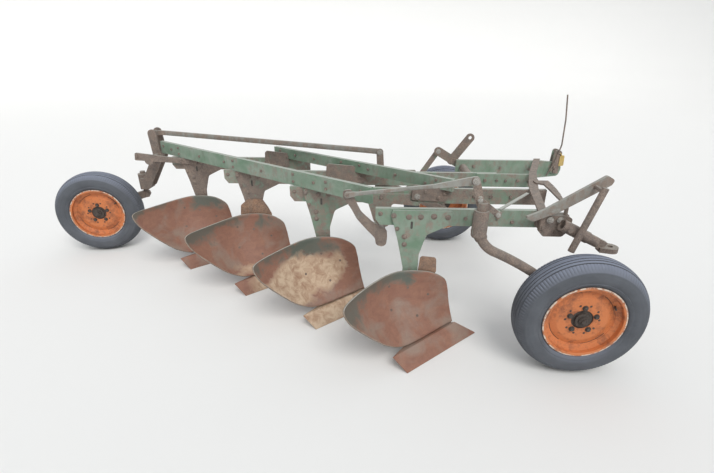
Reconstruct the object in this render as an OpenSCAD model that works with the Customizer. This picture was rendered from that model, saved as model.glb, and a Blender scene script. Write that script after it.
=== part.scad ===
// Four-bottom trailed moldboard plough on three rubber-tyred wheels, lowered on level ground.
// Millimetres. +X is the way it travels, +Y its land side (left), +Z up.
// Places are written from the first bottom: x and y 0 at its leg on the first beam, z 0 on the ground.

/* [Bottoms] */
// Width of the furrow that one bottom cuts, which is the sideways step between bottoms
cut_width = 356; // [330:1:380]
// Step back from one bottom to the next along the travel
bottom_pitch = 535; // [500:5:560]
// Thickness of a moldboard
mold_thick = 9; // [7:1:12]

/* [Frame] */
// Height of the top edge of the beams over the ground
beam_top = 785; // [770:1:800]
// Depth of a beam's bar
beam_depth = 95; // [85:1:100]
// Thickness of the beams' and rails' bars
bar_thick = 28; // [24:1:32]
// Depth of the front one of the two slanted rails that lie on the beams
rail_depth = 95; // [85:1:100]
// Depth of the rear slanted rail
rear_rail_depth = 75; // [70:1:90]
// Depth of the taller beam on the land side
land_beam_depth = 130; // [115:1:135]

/* [Wheels] */
// Outer radius of the tyres
tyre_r = 330; // [322:1:340]
// Width of the tyres
tyre_w = 190; // [170:1:200]
// Radius where the tyre sits on its rim
rim_r = 191; // [186:1:196]

/* [Linkage] */
// Length of the reversing lever's lower arm
short_arm = 80; // [76:1:82]
// Length of the lever and mast that the lift link joins
long_arm = 180; // [170:1:190]

/* [Finish] */
// Facets round a circle
facets = 48; // [32:4:96]

/* [Hidden] */
$fn = facets;

// From the first bottom to the part's own origin, under the middle of the whole machine
origin_x = -782.19;
origin_y = 500.75;

// Colours
green = "#6d8a78";
brown = "#6b5450";
rust = "#8a5a44";
steel = "#7a7470";
orange = "#c4683a";
rubber = "#3c3c42";

// Beams: rows are [rear end, front end, line]; line is the bottom that the beam carries
beam_bottom = beam_top - beam_depth;
BEAM_REAR = 0;
BEAM_FRONT = 1;
beams = [
    [-185, 735],
    [-720, 850],
    [-1255, 640],
    [-1790, -700]
];
function bottom_x(i) = -bottom_pitch * i;
function bottom_y(i) = cut_width * i;

// Slanted rails lie on the beams, along the row of bottoms
rail_angle = atan2(cut_width, -bottom_pitch);
rail_slope = -cut_width / bottom_pitch;
rail_top = beam_top + rail_depth;
front_rail_x = [-215, -1925];
rear_rail_x = [272, -985];
front_rail_y0 = -80;
rear_rail_y0 = 480;
function front_rail_y(x) = front_rail_y0 + rail_slope * x;
function rear_rail_y(x) = rear_rail_y0 + rail_slope * x;

// Land beam
land_beam_y = 3 * cut_width;
land_beam_x = [425, 1215];

// Gap between pieces that lie face to face on one body
seat = 0.2;
// Running gap round a pin or shaft
play = 0.06;

// Pivots, as [x, z]; their axes run along y
furrow_pivot = [378, 652];
land_pivot = [-149, 572];
lever_pivot = [-150, 735];
tail_pivot = [-1957, 762];
arm_pivot = [480, 727];
short_tilt = 98;
long_tilt = 93.8;
function polar(r, a) = [r * cos(a), r * sin(a)];
lever_pin = lever_pivot + polar(short_arm, -short_tilt);
lever_eye = lever_pivot + polar(long_arm, long_tilt);
mast_eye = tail_pivot + polar(long_arm, long_tilt);
arm_eye = [290, 840];
cylinder_eye = [520, 945];
land_arm_pin = [110, 560];
lever_top = [-338, 850];
level_pin = [302, 984];

// Wheels: centres as [x, y, z]
furrow_wheel = [862, -280, tyre_r];
land_wheel = [392, 1360, tyre_r];
tail_wheel = [-2455, 1050, tyre_r];
tail_yaw = 12;
king_pin = [-2145, 1240];

// Planes across the machine, y
lever_y = [cut_width * 2 + bar_thick + seat, cut_width * 2 + bar_thick + 14];
shaft_lever_y = 762;
furrow_bar_y = -150;
land_arm_y = 1182;
drop_link_y = 1128;
tail_plate_y = [1178, 1274];
tail_plate_t = 14;

// Helpers
module place() {
    translate([-origin_x, -origin_y, 0]) children();
}

// A plate standing along the travel: outline in x and z, from y to y + t
module plate(y, t) {
    translate([0, y + t, 0]) rotate([90, 0, 0]) linear_extrude(t) children();
}

// A bar's bore or pin along y
module rod_y(p, y0, y1, r) {
    translate([p[0], y1, p[1]]) rotate([90, 0, 0]) cylinder(h = y1 - y0, r = r);
}

// Points of an outline whose corners have a radius: rows are [x, y, radius]
function unit(v) = v / norm(v);
function corner_arc(a, b, c, r, steps) =
    let (
        u = unit([a[0] - b[0], a[1] - b[1]]),
        v = unit([c[0] - b[0], c[1] - b[1]]),
        half = acos(max(-1, min(1, u * v))) / 2,
        reach = r / tan(half),
        mid = [b[0], b[1]] + unit(u + v) * r / sin(half),
        p = [b[0], b[1]] + u * reach - mid,
        q = [b[0], b[1]] + v * reach - mid,
        from = atan2(p[1], p[0]),
        turn = ((atan2(q[1], q[0]) - from + 540) % 360) - 180
    )
    [for (k = [0 : steps]) mid + r * [cos(from + turn * k / steps), sin(from + turn * k / steps)]];
function rounded(table, steps = 6) =
    let (n = len(table))
    [for (i = [0 : n - 1])
        each (table[i][2] == 0
            ? [[table[i][0], table[i][1]]]
            : corner_arc(table[(i + n - 1) % n], table[i], table[(i + 1) % n], table[i][2], steps))];

// A flat strap between two eyes, with round ends that stand a hair proud of its sides
module strap(a, b, w) {
    angle = atan2(b[1] - a[1], b[0] - a[0]);
    side = w - 0.12;
    translate(a) rotate(angle) {
        translate([0, -side / 2]) square([norm(b - a), side]);
        circle(r = w / 2);
    }
    translate(b) circle(r = w / 2);
}

// A round bar through points, mitred by balls
module bent_bar(path, r) {
    for (k = [0 : len(path) - 2]) {
        a = path[k];
        b = path[k + 1];
        d = b - a;
        translate(a) rotate([0, acos(d[2] / norm(d)), atan2(d[1], d[0])]) cylinder(h = norm(d), r = r);
        if (k > 0) translate(a) sphere(r = r + 0.4);
    }
}

// A round bar bent about a centre in the xz plane: from an angle, through a turn
module arc_bar(centre, y, bend_r, from, turn, r) {
    translate([centre[0], y, centre[1]]) rotate([90, 0, 0]) rotate(from)
        rotate_extrude(angle = turn) translate([bend_r, 0]) circle(r = r);
}

// Frame
module beam(i) {
    row = beams[i];
    place() plate(bottom_y(i), bar_thick)
        polygon(rounded([
            [row[BEAM_REAR] + 25, beam_bottom, 0],
            [row[BEAM_FRONT], beam_bottom, 0],
            [row[BEAM_FRONT], beam_top, 0],
            [row[BEAM_REAR], beam_top, 0],
            [row[BEAM_REAR], beam_bottom + 35, 0]
        ]));
}
module beam_1() { color(green) beam(0); }
module beam_2() { color(brown) beam(1); }
module beam_3() {
    color(brown) {
        beam(2);
        // pin of the reversing lever
        place() rod_y(lever_pivot, bottom_y(2) + bar_thick - 1, lever_y[0] + 20, 12 - play);
    }
}
module beam_4() { color(brown) beam(3); }

module land_beam() {
    color(green) place() difference() {
        plate(land_beam_y, bar_thick)
            polygon(rounded([
                [land_beam_x[0], beam_top - land_beam_depth + 20, 20],
                [land_beam_x[1] - 170, beam_top - land_beam_depth, 60],
                [land_beam_x[1] - 15, beam_top - 112, 30],
                [land_beam_x[1], beam_top - 60, 40],
                [land_beam_x[1] - 12, beam_top - 12, 20],
                [land_beam_x[1] - 150, beam_top, 10],
                [land_beam_x[0], beam_top, 5]
            ]));
        rod_y(arm_pivot, land_beam_y - 1, land_beam_y + bar_thick + 1, 20 + play);
    }
}

module slanted_rail(ends, y0, depth, extra = 0) {
    length = norm([ends[1] - ends[0], rail_slope * (ends[1] - ends[0])]);
    translate([ends[0], y0 + rail_slope * ends[0], beam_top + seat])
        rotate(rail_angle) translate([0, -bar_thick - extra, 0]) cube([length, bar_thick + extra, depth - seat]);
}
module front_rail() { color(green) place() slanted_rail(front_rail_x, front_rail_y0, rail_depth); }
module rear_rail() { color(green) place() slanted_rail(rear_rail_x, rear_rail_y0, rear_rail_depth); }

// Plates on the near side of beams 2 to 4, where the rear rail crosses over them
gusset_t = 12;
GUSSET_REAR = 0;
GUSSET_FRONT = 1;
GUSSET_TOP = 2;
gusset_table = [
    [33, 270, 812],
    [-536, -243, 842],
    [-1050, -850, 845]
];
module gusset(i) {
    row = gusset_table[i - 1];
    plate(bottom_y(i) - gusset_t - seat, gusset_t)
        polygon(rounded([
            [row[GUSSET_REAR], beam_bottom + 25, 10],
            [row[GUSSET_FRONT] - 20, beam_bottom + 15, 20],
            [row[GUSSET_FRONT], row[GUSSET_TOP] - 20, 10],
            [row[GUSSET_REAR] + 10, row[GUSSET_TOP], 20]
        ]));
}
module gussets() {
    color(brown) place() difference() {
        for (i = [1 : 3]) gusset(i);
        // the rail's seat
        translate([0, 0, -seat * 2]) slanted_rail([rear_rail_x[0] + 20, rear_rail_x[1] - 20], rear_rail_y0 - 1, rail_depth, 2);
    }
}

// Lengthens beam 3 to the cross bar
module splice_plate() {
    color(green) place() plate(bottom_y(2) - 16 - seat, 16)
        polygon(rounded([
            [500, beam_bottom + 5, 8],
            [905, beam_bottom + 5, 8],
            [925, beam_top - 45, 8],
            [885, beam_top, 10],
            [500, beam_top, 8]
        ]));
}

// Front cross bar: a flat bar that lies on the beams and slants forward to the land side
cross_t = 12;
cross_outline = [
    [660, -58], [704, -58], [732, 65], [790, 330], [833, 480], [900, 700], [1058, 1096], [1010, 1096],
    [850, 700], [778, 480], [735, 330], [685, 65]
];
module cross_bar() {
    color(brown) place() translate([0, 0, beam_top + seat]) linear_extrude(cross_t) polygon(cross_outline);
}

module cross_tube() {
    color(brown) place()
        rod_y(arm_pivot, 2 * cut_width + bar_thick + seat, land_beam_y - seat, 30);
}

// Hitch plate on the near side of the first beam, with the drawbar's pin and two bolts
hitch_pivot = [800, 735];
clamp_y = -60;
clamp_bolts = [[720, 760], [773, 760], [696, 712], [765, 687]];
module hitch_clamp() {
    color(brown) place() {
        plate(clamp_y + 30, -clamp_y - 30 - seat)
            polygon(rounded([
                [668, beam_top - 6, 5],
                [668, beam_bottom + 12, 10],
                [710, beam_bottom, 20],
                [830, beam_bottom + 10, 20],
                [830, beam_top - 6, 10]
            ]));
        plate(clamp_y, 30 + 1)
            polygon(rounded([
                [677, beam_top - 4, 10],
                [677, 690, 12],
                [700, 664, 15],
                [798, 664, 18],
                [836, 705, 15],
                [836, 766, 12],
                [806, beam_top - 4, 8]
            ]));
        rod_y(hitch_pivot, -144, clamp_y + 5, 14);
        for (bolt = clamp_bolts) rod_y(bolt, clamp_y - 8, clamp_y + 1, 12);
        // knob of the pin through both plates
        translate([801, clamp_y + 16, 770]) cylinder(h = 52, r = 10);
    }
}

// Toothed plate on the cross bar
tooth_count = 13;
// Its foot reaches over the cross bar at the land side's end
quadrant_outline = [
    [832, 84], [842, 90], [861, 157], [877, 235], [889, 321], [896, 400], [899, 486], [806, 486], [806, 440],
    [846, 415], [845, 330], [837, 185]
];
module quadrant() {
    color(brown) place() translate([0, 0, beam_top + cross_t + 2 * seat]) linear_extrude(10)
        difference() {
            polygon(quadrant_outline);
            for (k = [0 : tooth_count - 1])
                let (t = k / (tooth_count - 1))
                translate([866 + 58 * t - 24 * t * t, 172 + 300 * t]) rotate(45) square(11, center = true);
        }
}

module stay_bar() {
    color(steel) place() plate(clamp_y - 20 - seat, 20)
        polygon(rounded([
            [584, 775, 8],
            [630, 755, 8],
            [754, 810, 60],
            [978, 956, 14],
            [990, 982, 14],
            [952, 1004, 14],
            [676, 819, 60]
        ]));
}

// Open tube that hangs from the stay bar's eye
tube_y = -160;
tube_top = [909, tube_y, 966];
tube_low = [814, tube_y, 627];
module stay_tube() {
    color(steel) place() {
        difference() {
            bent_bar([tube_top, tube_low], 17);
            bent_bar([tube_low + 0.8 * (tube_top - tube_low), tube_low - 0.1 * (tube_top - tube_low)], 13);
        }
        rod_y([tube_top[0] - 6, tube_top[2] - 18], tube_y, clamp_y - 20 - 2 * seat, 9);
    }
}

// Thin strip from the cross bar to the first beam
module brace_strip() {
    color(steel) place() translate([0, 0, beam_top + seat]) linear_extrude(6)
        polygon([[469, 9], [483, -3], [719, 279], [705, 291]]);
}

// Bottoms
leg_t = 16;
leg_outline = [
    [-95, 735, 30],
    [-60, 600, 0],
    [-25, 430, 60],
    [-38, 200, 0],
    [-38, 60, 10],
    [185, 60, 10],
    [185, 110, 20],
    [100, 190, 30],
    [58, 330, 60],
    [60, 520, 60],
    [95, 640, 40],
    [225, 705, 10],
    [225, 780, 5],
    [-95, 780, 5]
];
module standard(i) {
    place() translate([bottom_x(i), 0, 0]) plate(bottom_y(i) - leg_t - seat, leg_t)
        polygon(rounded(leg_outline));
}
module standard_1() { color(green) standard(0); }
module standard_2() { color(green) standard(1); }
module standard_3() { color(brown) standard(2); }
module standard_4() { color(brown) standard(3); }

// Moldboard: stations from the shin to the wing tip, rows are
// [foot x, foot y, foot z, top x, top y, top z, hollow of the section]
stations = [
    [285, 0, 85, 238, 0, 315, 8],
    [235, -40, 85, 215, -10, 375, 24],
    [160, -105, 84, 140, -20, 420, 42],
    [70, -185, 86, 50, -26, 434, 56],
    [-20, -262, 98, -40, -38, 434, 62],
    [-100, -328, 150, -120, -86, 428, 58],
    [-172, -376, 222, -200, -172, 422, 44],
    [-236, -404, 286, -268, -270, 420, 27],
    [-282, -420, 332, -312, -360, 424, 11],
    [-306, -428, 358, -334, -424, 432, 2]
];
mold_rows = 8;
// Steps from one station to the next, along a spline
mold_steps = 2;
function spline(a, b, c, d, t) =
    0.5 * (2 * b + (c - a) * t + (2 * a - 5 * b + 4 * c - d) * t * t + (3 * b - a - 3 * c + d) * t * t * t);
fine_stations = [
    for (k = [0 : len(stations) - 2]) for (step = [0 : mold_steps - 1])
        spline(stations[max(k - 1, 0)], stations[k], stations[k + 1],
            stations[min(k + 2, len(stations) - 1)], step / mold_steps),
    stations[len(stations) - 1]
];
station_count = len(fine_stations);
function foot_at(k) = [fine_stations[k][0], fine_stations[k][1], fine_stations[k][2]];
function top_at(k) = [fine_stations[k][3], fine_stations[k][4], fine_stations[k][5]];
// The hollow sinks toward the rear and the land side
hollow_way = unit([-0.62, 0.75, -0.25]);
function face_at(k, v) =
    foot_at(k) * (1 - v) + top_at(k) * v + hollow_way * fine_stations[k][6] * 4 * v * (1 - v);
// A skin from depth a to depth b behind the working face, between two stations and two rows
module mold_skin(first, last, low, high, a, b) {
    m = high - low;
    n = last - first;
    grid = [for (s = [0 : 1]) for (k = [0 : n]) for (j = [0 : m])
        face_at(first + k, (low + j) / mold_rows) + hollow_way * (s == 0 ? a : b)];
    side = (n + 1) * (m + 1);
    polyhedron(
        points = grid,
        faces = concat(
            [for (k = [0 : n - 1]) for (j = [0 : m - 1])
                [k * (m + 1) + j, (k + 1) * (m + 1) + j, (k + 1) * (m + 1) + j + 1]],
            [for (k = [0 : n - 1]) for (j = [0 : m - 1])
                [k * (m + 1) + j, (k + 1) * (m + 1) + j + 1, k * (m + 1) + j + 1]],
            [for (k = [0 : n - 1]) for (j = [0 : m - 1])
                [side + k * (m + 1) + j, side + (k + 1) * (m + 1) + j + 1, side + (k + 1) * (m + 1) + j]],
            [for (k = [0 : n - 1]) for (j = [0 : m - 1])
                [side + k * (m + 1) + j, side + k * (m + 1) + j + 1, side + (k + 1) * (m + 1) + j + 1]],
            [for (k = [0 : n - 1]) each [
                [k * (m + 1), side + k * (m + 1), side + (k + 1) * (m + 1)],
                [k * (m + 1), side + (k + 1) * (m + 1), (k + 1) * (m + 1)],
                [k * (m + 1) + m, (k + 1) * (m + 1) + m, side + (k + 1) * (m + 1) + m],
                [k * (m + 1) + m, side + (k + 1) * (m + 1) + m, side + k * (m + 1) + m]]],
            [for (j = [0 : m - 1]) each [
                [j, j + 1, side + j + 1],
                [j, side + j + 1, side + j],
                [n * (m + 1) + j, side + n * (m + 1) + j + 1, n * (m + 1) + j + 1],
                [n * (m + 1) + j, side + n * (m + 1) + j, side + n * (m + 1) + j + 1]]]
        )
    );
}
module moldboard(i) {
    color(rust) place() translate([bottom_x(i), bottom_y(i) - leg_t - 8, 0])
        mold_skin(0, station_count - 1, 0, mold_rows, 0, mold_thick);
}
module moldboard_1() { moldboard(0); }
module moldboard_2() { moldboard(1); }
module moldboard_3() { moldboard(2); }
module moldboard_4() { moldboard(3); }

// A frog is the casting between the leg and the back of the moldboard
module frog() {
    intersection() {
        translate([0, -leg_t - 8, 0])
            mold_skin(mold_steps, 5 * mold_steps, 0, mold_rows - 2, mold_thick + seat, mold_thick + 40);
        translate([-200, -400, 88]) cube([420, 400 - leg_t - 2 * seat, 300]);
    }
}
// On the first and third bottoms the casting's pad on the leg rises over the moldboard's top edge
front_pad = [[56, 388, 10], [150, 388, 10], [163, 425, 12], [158, 505, 16], [70, 513, 16], [61, 425, 12]];
pad = [
    [-86, 400, 10], [120, 400, 10], [137, 470, 16], [113, 523, 20], [75, 583, 22], [-27, 581, 30],
    [-82, 535, 24], [-89, 473, 16]
];
module frogs() {
    color(brown) place() for (i = [0 : 3]) translate([bottom_x(i), bottom_y(i), 0]) {
        frog();
        if (i % 2 == 0)
            plate(-leg_t - 2 * seat - 11, 11) polygon(rounded(i == 0 ? front_pad : pad));
    }
}

// A share: the cutting edge runs from its point on the land side to its wing
module share() {
    hull() {
        translate([425, -20, 3]) sphere(r = 3, $fn = 8);
        translate([0, -385, 3]) sphere(r = 3, $fn = 8);
        translate([300, -22, 72]) sphere(r = 5, $fn = 8);
        translate([-75, -358, 78]) sphere(r = 4, $fn = 8);
        translate([290, -22, 10]) sphere(r = 5, $fn = 8);
        translate([120, -22, 40]) sphere(r = 5, $fn = 8);
    }
}
module shares() {
    color(rust) place() for (i = [0 : 3]) translate([bottom_x(i), bottom_y(i), 0]) share();
}

module landside() {
    plate(seat, 13)
        polygon(rounded([
            [-230, 0, 5],
            [285, 0, 5],
            [285, 70, 10],
            [240, 105, 10],
            [-230, 90, 20]
        ]));
}
module landsides() {
    color(rust) place() for (i = [0 : 3]) translate([bottom_x(i), bottom_y(i), 0]) landside();
}

// Furrow wheel's bearing under the first beam
module furrow_bracket() {
    color(brown) place() difference() {
        union() {
            plate(-14 - seat, 14)
                polygon(rounded([
                    [furrow_pivot[0] - 42, furrow_pivot[1] - 26, 20],
                    [furrow_pivot[0] + 42, furrow_pivot[1] - 26, 20],
                    [furrow_pivot[0] + 38, beam_top - 4, 10],
                    [furrow_pivot[0] - 38, beam_top - 4, 10]
                ]));
            rod_y(furrow_pivot, -60, 36, 34);
        }
        rod_y(furrow_pivot, -61, 37, 24 + play);
    }
}

// Front anchor of the missing lift cylinder
cylinder_anchor = [1172, 846];
module cylinder_bracket() {
    color(brown) place() difference() {
        for (y = [land_beam_y - 16 - seat, land_beam_y + bar_thick + seat])
            plate(y, 16)
                polygon(rounded([
                    [1133, beam_top - 85, 8],
                    [1190, beam_top - 93, 8],
                    [1197, beam_top + 80, 22],
                    [1146, beam_top + 92, 20]
                ]));
        rod_y(cylinder_anchor, land_beam_y - 20, land_beam_y + 50, 13);
    }
}

marker_y = land_beam_y - 16 - 5.5 - 2 * seat;
module marker_rod() {
    color(steel) place()
        bent_bar([
            [1106, marker_y, 677], [1153, marker_y, 786], [1179, marker_y, 914], [1172, marker_y, 1094],
            [1151, marker_y, 1266]
        ], 5);
}

module tag() {
    color("#c9a91f") place() {
        plate(marker_y + 1, 4)
            polygon(rounded([[1184, 752, 8], [1220, 757, 8], [1216, 835, 8], [1186, 832, 8]]));
        bent_bar([[1179, marker_y + 2.5, 855], [1201, marker_y + 2.5, 828]], 2.5);
    }
}

// Hangers of the land wheel's shaft, under beams 2 and 3
hanger_outline = [
    [-195, 572, 30],
    [-149, 525, 30],
    [-100, 540, 30],
    [-80, 600, 30],
    [-90, 690, 20]
];
module shaft_hangers() {
    color(green) place() difference() {
        union() {
            plate(784, 16)
                polygon(rounded(concat(hanger_outline, [
                    [95, 700, 20],
                    [95, 780, 10],
                    [0, 780, 10],
                    [-10, 720, 20],
                    [-130, 690, 20]
                ])));
            translate([5, 2 * cut_width + bar_thick + seat, 700]) cube([85, 46, 75]);
            rod_y(land_pivot, 784, 1120, 42);
            plate(cut_width - 16 - seat, 16)
                polygon(rounded(concat(hanger_outline, [
                    [60, 678, 10],
                    [89, 680, 6],
                    [78, 698, 4],
                    [27, 708, 4],
                    [22, 752, 8],
                    [-234, 752, 10],
                    [-234, 700, 10]
                ])));
            rod_y(land_pivot, cut_width - 40, cut_width + 30, 40);
        }
        rod_y(land_pivot, 783, 1121, 25 + play);
        rod_y(land_pivot, cut_width - 41, cut_width + 31, 25 + play);
    }
}

// Rear end of beam 4, on its leg's near side, with the tail's pivot shaft
tail_bar_y = land_beam_y - 2 * leg_t - 2 * seat;
module tail_bar() {
    color(brown) place() {
        plate(tail_bar_y, 16) {
            polygon(rounded([
                [-2068, 764, 8],
                [-1575, 735, 10],
                [-1575, 784, 5],
                [-1735, 784, 0],
                [-2058, 822, 10]
            ]));
            translate(tail_pivot) circle(r = 34);
        }
        rod_y(tail_pivot, tail_bar_y + 8, tail_plate_y[1] + tail_plate_t + 7, 24);
    }
}

// Wheels. The profile's own axis is z, and the outer face looks along -z
tyre_profile = [
    [rim_r + 2, -60, 6],
    [rim_r + 2, -72, 4],
    [rim_r + 17, -73, 3],
    [rim_r + 58, -tyre_w / 2, 45],
    [tyre_r - 38, -tyre_w / 2 + 5, 24],
    [tyre_r - 13, -60, 30],
    [tyre_r, -34, 30],
    [tyre_r, 34, 30],
    [tyre_r - 13, 60, 30],
    [tyre_r - 38, tyre_w / 2 - 5, 24],
    [rim_r + 58, tyre_w / 2, 45],
    [rim_r + 17, 73, 3],
    [rim_r + 2, 72, 4],
    [rim_r + 2, 60, 6],
    [rim_r + 40, 50, 20],
    [rim_r + 40, -50, 20]
];
module tyre() {
    rotate_extrude($fn = 72) polygon(rounded(tyre_profile, 3));
}
hub_r = 52;
rim_profile = [
    [rim_r + 14, -76 - 6, 3],
    [rim_r + 14, -76, 2],
    [rim_r + 1, -74, 2],
    [rim_r + 1, -50, 3],
    [rim_r - 22, -40, 6],
    [rim_r - 22, 40, 6],
    [rim_r + 1, 50, 3],
    [rim_r + 1, 74, 2],
    [rim_r + 14, 76, 2],
    [rim_r + 14, 82, 3],
    [rim_r - 4, 80, 3],
    [rim_r - 4, 55, 3],
    [rim_r - 27, 44, 6],
    [rim_r - 27, -20, 6],
    [hub_r + 70, -44, 10],
    [hub_r + 2, -44, 2],
    [hub_r + 2, -50, 2],
    [hub_r + 72, -50, 10],
    [rim_r - 28, -36, 6],
    [rim_r - 27, -44, 2],
    [rim_r - 4, -55, 3],
    [rim_r - 4, -80, 3]
];
module rim() {
    rotate_extrude($fn = 72) polygon(rounded(rim_profile, 3));
}
module hub() {
    difference() {
        union() {
            translate([0, 0, -58]) cylinder(h = 86, r = 38);
            translate([0, 0, -44 + seat]) cylinder(h = 14, r = 80);
            translate([0, 0, -66]) cylinder(h = 10, r = 23);
        }
        translate([0, 0, -50]) cylinder(h = 180, r = 20 + play);
    }
}
// The outer face looks to the furrow side, or to the land side when turned
module wheel_at(centre, yaw, turned) {
    place() translate(centre) rotate(yaw + (turned ? 180 : 0)) rotate([-90, 0, 0]) children();
}
module furrow_tyre() { color(rubber) wheel_at(furrow_wheel, 0, false) tyre(); }
module furrow_rim() { color(orange) wheel_at(furrow_wheel, 0, false) rim(); }
module furrow_hub() { color(steel) wheel_at(furrow_wheel, 0, false) hub(); }
module land_tyre() { color(rubber) wheel_at(land_wheel, 0, true) tyre(); }
module land_rim() { color(orange) wheel_at(land_wheel, 0, true) rim(); }
module land_hub() { color(steel) wheel_at(land_wheel, 0, true) hub(); }
module tail_tyre() { color(rubber) wheel_at(tail_wheel, tail_yaw, false) tyre(); }
module tail_rim() { color(orange) wheel_at(tail_wheel, tail_yaw, false) rim(); }
module tail_hub() { color(steel) wheel_at(tail_wheel, tail_yaw, false) hub(); }

// Shaft across the machine, with the land wheel's arm and stub axle and an inner lever
curved_y = 34;
module rockshaft() {
    color(brown) place() {
        rod_y(land_pivot, curved_y + 14 + seat, land_arm_y + 16, 25);
        difference() {
            plate(shaft_lever_y, 14) strap(land_pivot, lever_pin, 62);
            plate(shaft_lever_y - 1, 16)
                strap(lever_pin - 4 * unit(lever_pin - land_pivot), lever_pin + 6 * unit(lever_pin - land_pivot), 27.4);
        }
        plate(land_arm_y - 14, 30) strap(land_pivot, [land_wheel[0], land_wheel[2]], 60);
        plate(land_arm_y - 14, 14) strap(land_arm_pin, [60, 480], 54);
        rod_y(land_arm_pin, drop_link_y - 4, land_arm_y, 12);
        rod_y([land_wheel[0], land_wheel[2]], land_arm_y, land_wheel[1] + 46, 20);
    }
}

// Bowed lever on the shaft's near end, which drives the level bar
curved_outline = [
    [-362, 872, 18],
    [-364, 838, 14],
    [-348, 814, 30],
    [-315, 761, 90],
    [-288, 708, 90],
    [-226, 636, 60],
    [-186, 594, 30],
    [-179, 546, 24],
    [-123, 544, 24],
    [-117, 600, 24],
    [-119, 634, 12],
    [-131, 651, 10],
    [-204, 691, 60],
    [-266, 750, 90],
    [-299, 819, 60],
    [-317, 876, 16]
];
module curved_lever() {
    color(brown) place() {
        plate(curved_y, 14) polygon(rounded(curved_outline));
        rod_y(land_pivot, curved_y - 3, curved_y + 14, 28);
        rod_y(lever_top, curved_y - 18, curved_y + 1, 10);
    }
}

// Front furrow wheel's bent axle: upright, a tight bend, then a slight bow down to the wheel
upright_x = 343;
bend_r = 150;
bow_r = 1600;
bow_from = -24;
bow_to = -40;
bend_centre = [upright_x + bend_r, 749];
bend_end = bend_centre + polar(bend_r, 270 + bow_from);
bow_centre = bend_end - polar(bow_r, 90 + bow_from);
bow_end = bow_centre + polar(bow_r, 90 + bow_to);
module furrow_axle() {
    color(brown) place() {
        translate([upright_x, furrow_bar_y, bend_centre[1] - 2]) cylinder(h = 882 - bend_centre[1], r = 25);
        arc_bar(bend_centre, furrow_bar_y, bend_r, 180, 90 + bow_from, 25.4);
        arc_bar(bow_centre, furrow_bar_y, bow_r, 90 + bow_to, bow_from - bow_to + 0.08, 25);
        translate([bow_end[0], furrow_bar_y, bow_end[1]]) rotate([0, 90 - bow_to, 0])
            translate([0, 0, -2]) cylinder(h = 82, r = 25.4);
        rod_y([furrow_wheel[0], furrow_wheel[2]], furrow_wheel[1] - 46, furrow_bar_y, 20);
        rod_y(furrow_pivot, furrow_bar_y, 60, 24);
        translate([upright_x, furrow_bar_y, 702]) cylinder(h = 138, r = 37);
        plate(lever_plane_y, 14) strap([336, 865], level_pin, 40);
        rod_y(level_pin, lever_plane_y, lever_plane_y + 30, 10);
    }
}
lever_plane_y = furrow_bar_y + 10;

// Bar from the bowed lever to the furrow axle's lever
module level_bar() {
    color(steel) place() difference() {
        union() {
            hull() {
                rod_y(lever_top, curved_y - 14, curved_y - 2, 17);
                rod_y(lever_top + [54, 9], curved_y - 18, curved_y - 6, 10);
            }
            hull() {
                rod_y(lever_top + [54, 9], curved_y - 18, curved_y - 6, 10);
                rod_y([-21, 912], -46, -34, 9);
            }
            hull() {
                rod_y([-21, 912], -46, -34, 9);
                rod_y([104, 951], lever_plane_y + 16, lever_plane_y + 28, 10);
            }
            hull() {
                rod_y([104, 951], lever_plane_y + 16, lever_plane_y + 28, 10);
                rod_y(level_pin - [60, 12], lever_plane_y + 18, lever_plane_y + 30, 19);
            }
            hull() {
                rod_y(level_pin - [60, 12], lever_plane_y + 18, lever_plane_y + 30, 19);
                rod_y(level_pin, lever_plane_y + 15, lever_plane_y + 27, 20.4);
            }
        }
        rod_y(lever_top, curved_y - 40, curved_y + 10, 10 + play);
        plate(lever_plane_y, 50) strap(level_pin - [4, 0.8], level_pin + [4, 0.8], 22.4);
    }
}

// Lever on beam 3 that turns the pull round: raising the land wheel pushes the tail's mast back
module reverse_lever() {
    color(brown) place() {
        difference() {
            plate(lever_y[0] + 2, 14) {
                strap(lever_pivot, lever_pin, 40);
                strap(lever_pivot, lever_eye, 48);
            }
            rod_y(lever_pivot, 700, 800, 12);
        }
        rod_y(lever_eye, lever_y[0] + 3, 780, 10 - play);
        rod_y(lever_pin, lever_y[0] + 3, shaft_lever_y + 16, 12);
    }
}

link_rear_y = 1227;
module lift_link() {
    color(green) place() difference() {
        union() {
            hull() {
                rod_y(lever_eye, 762, 774, 18);
                rod_y(lever_eye - [90, -6], 770, 782, 18);
            }
            hull() {
                rod_y(lever_eye - [90, -6], 770, 782, 18);
                rod_y(mast_eye + [90, -2], link_rear_y, link_rear_y + 12, 18);
            }
            hull() {
                rod_y(mast_eye + [90, -2], link_rear_y, link_rear_y + 12, 18);
                rod_y(mast_eye, link_rear_y, link_rear_y + 12, 18);
            }
        }
        rod_y(lever_eye, 750, 800, 10);
        rod_y(mast_eye, link_rear_y - 4, link_rear_y + 16, 10);
    }
}

// Tail crank: two plates from the link's eye over the pivot to the king pin
tail_foot = [-2095, 525];
module tail_mast() {
    color(brown) place() {
        difference() {
            union() {
                for (y = tail_plate_y) plate(y, tail_plate_t) {
                    strap(tail_pivot, mast_eye, 66);
                    strap(tail_pivot, tail_foot, 78);
                }
                translate([king_pin[0], king_pin[1], 470]) cylinder(h = 130, r = 40);
                translate([king_pin[0], tail_plate_y[0], 480]) cube([60, tail_plate_y[1] + tail_plate_t - tail_plate_y[0], 90]);
            }
            rod_y(tail_pivot, 1100, 1300, 24 + play);
            translate([king_pin[0], king_pin[1], 460]) cylinder(h = 160, r = 20 + play);
        }
        rod_y(mast_eye, tail_plate_y[0], tail_plate_y[1] + tail_plate_t, 10 - play);
    }
}

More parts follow.
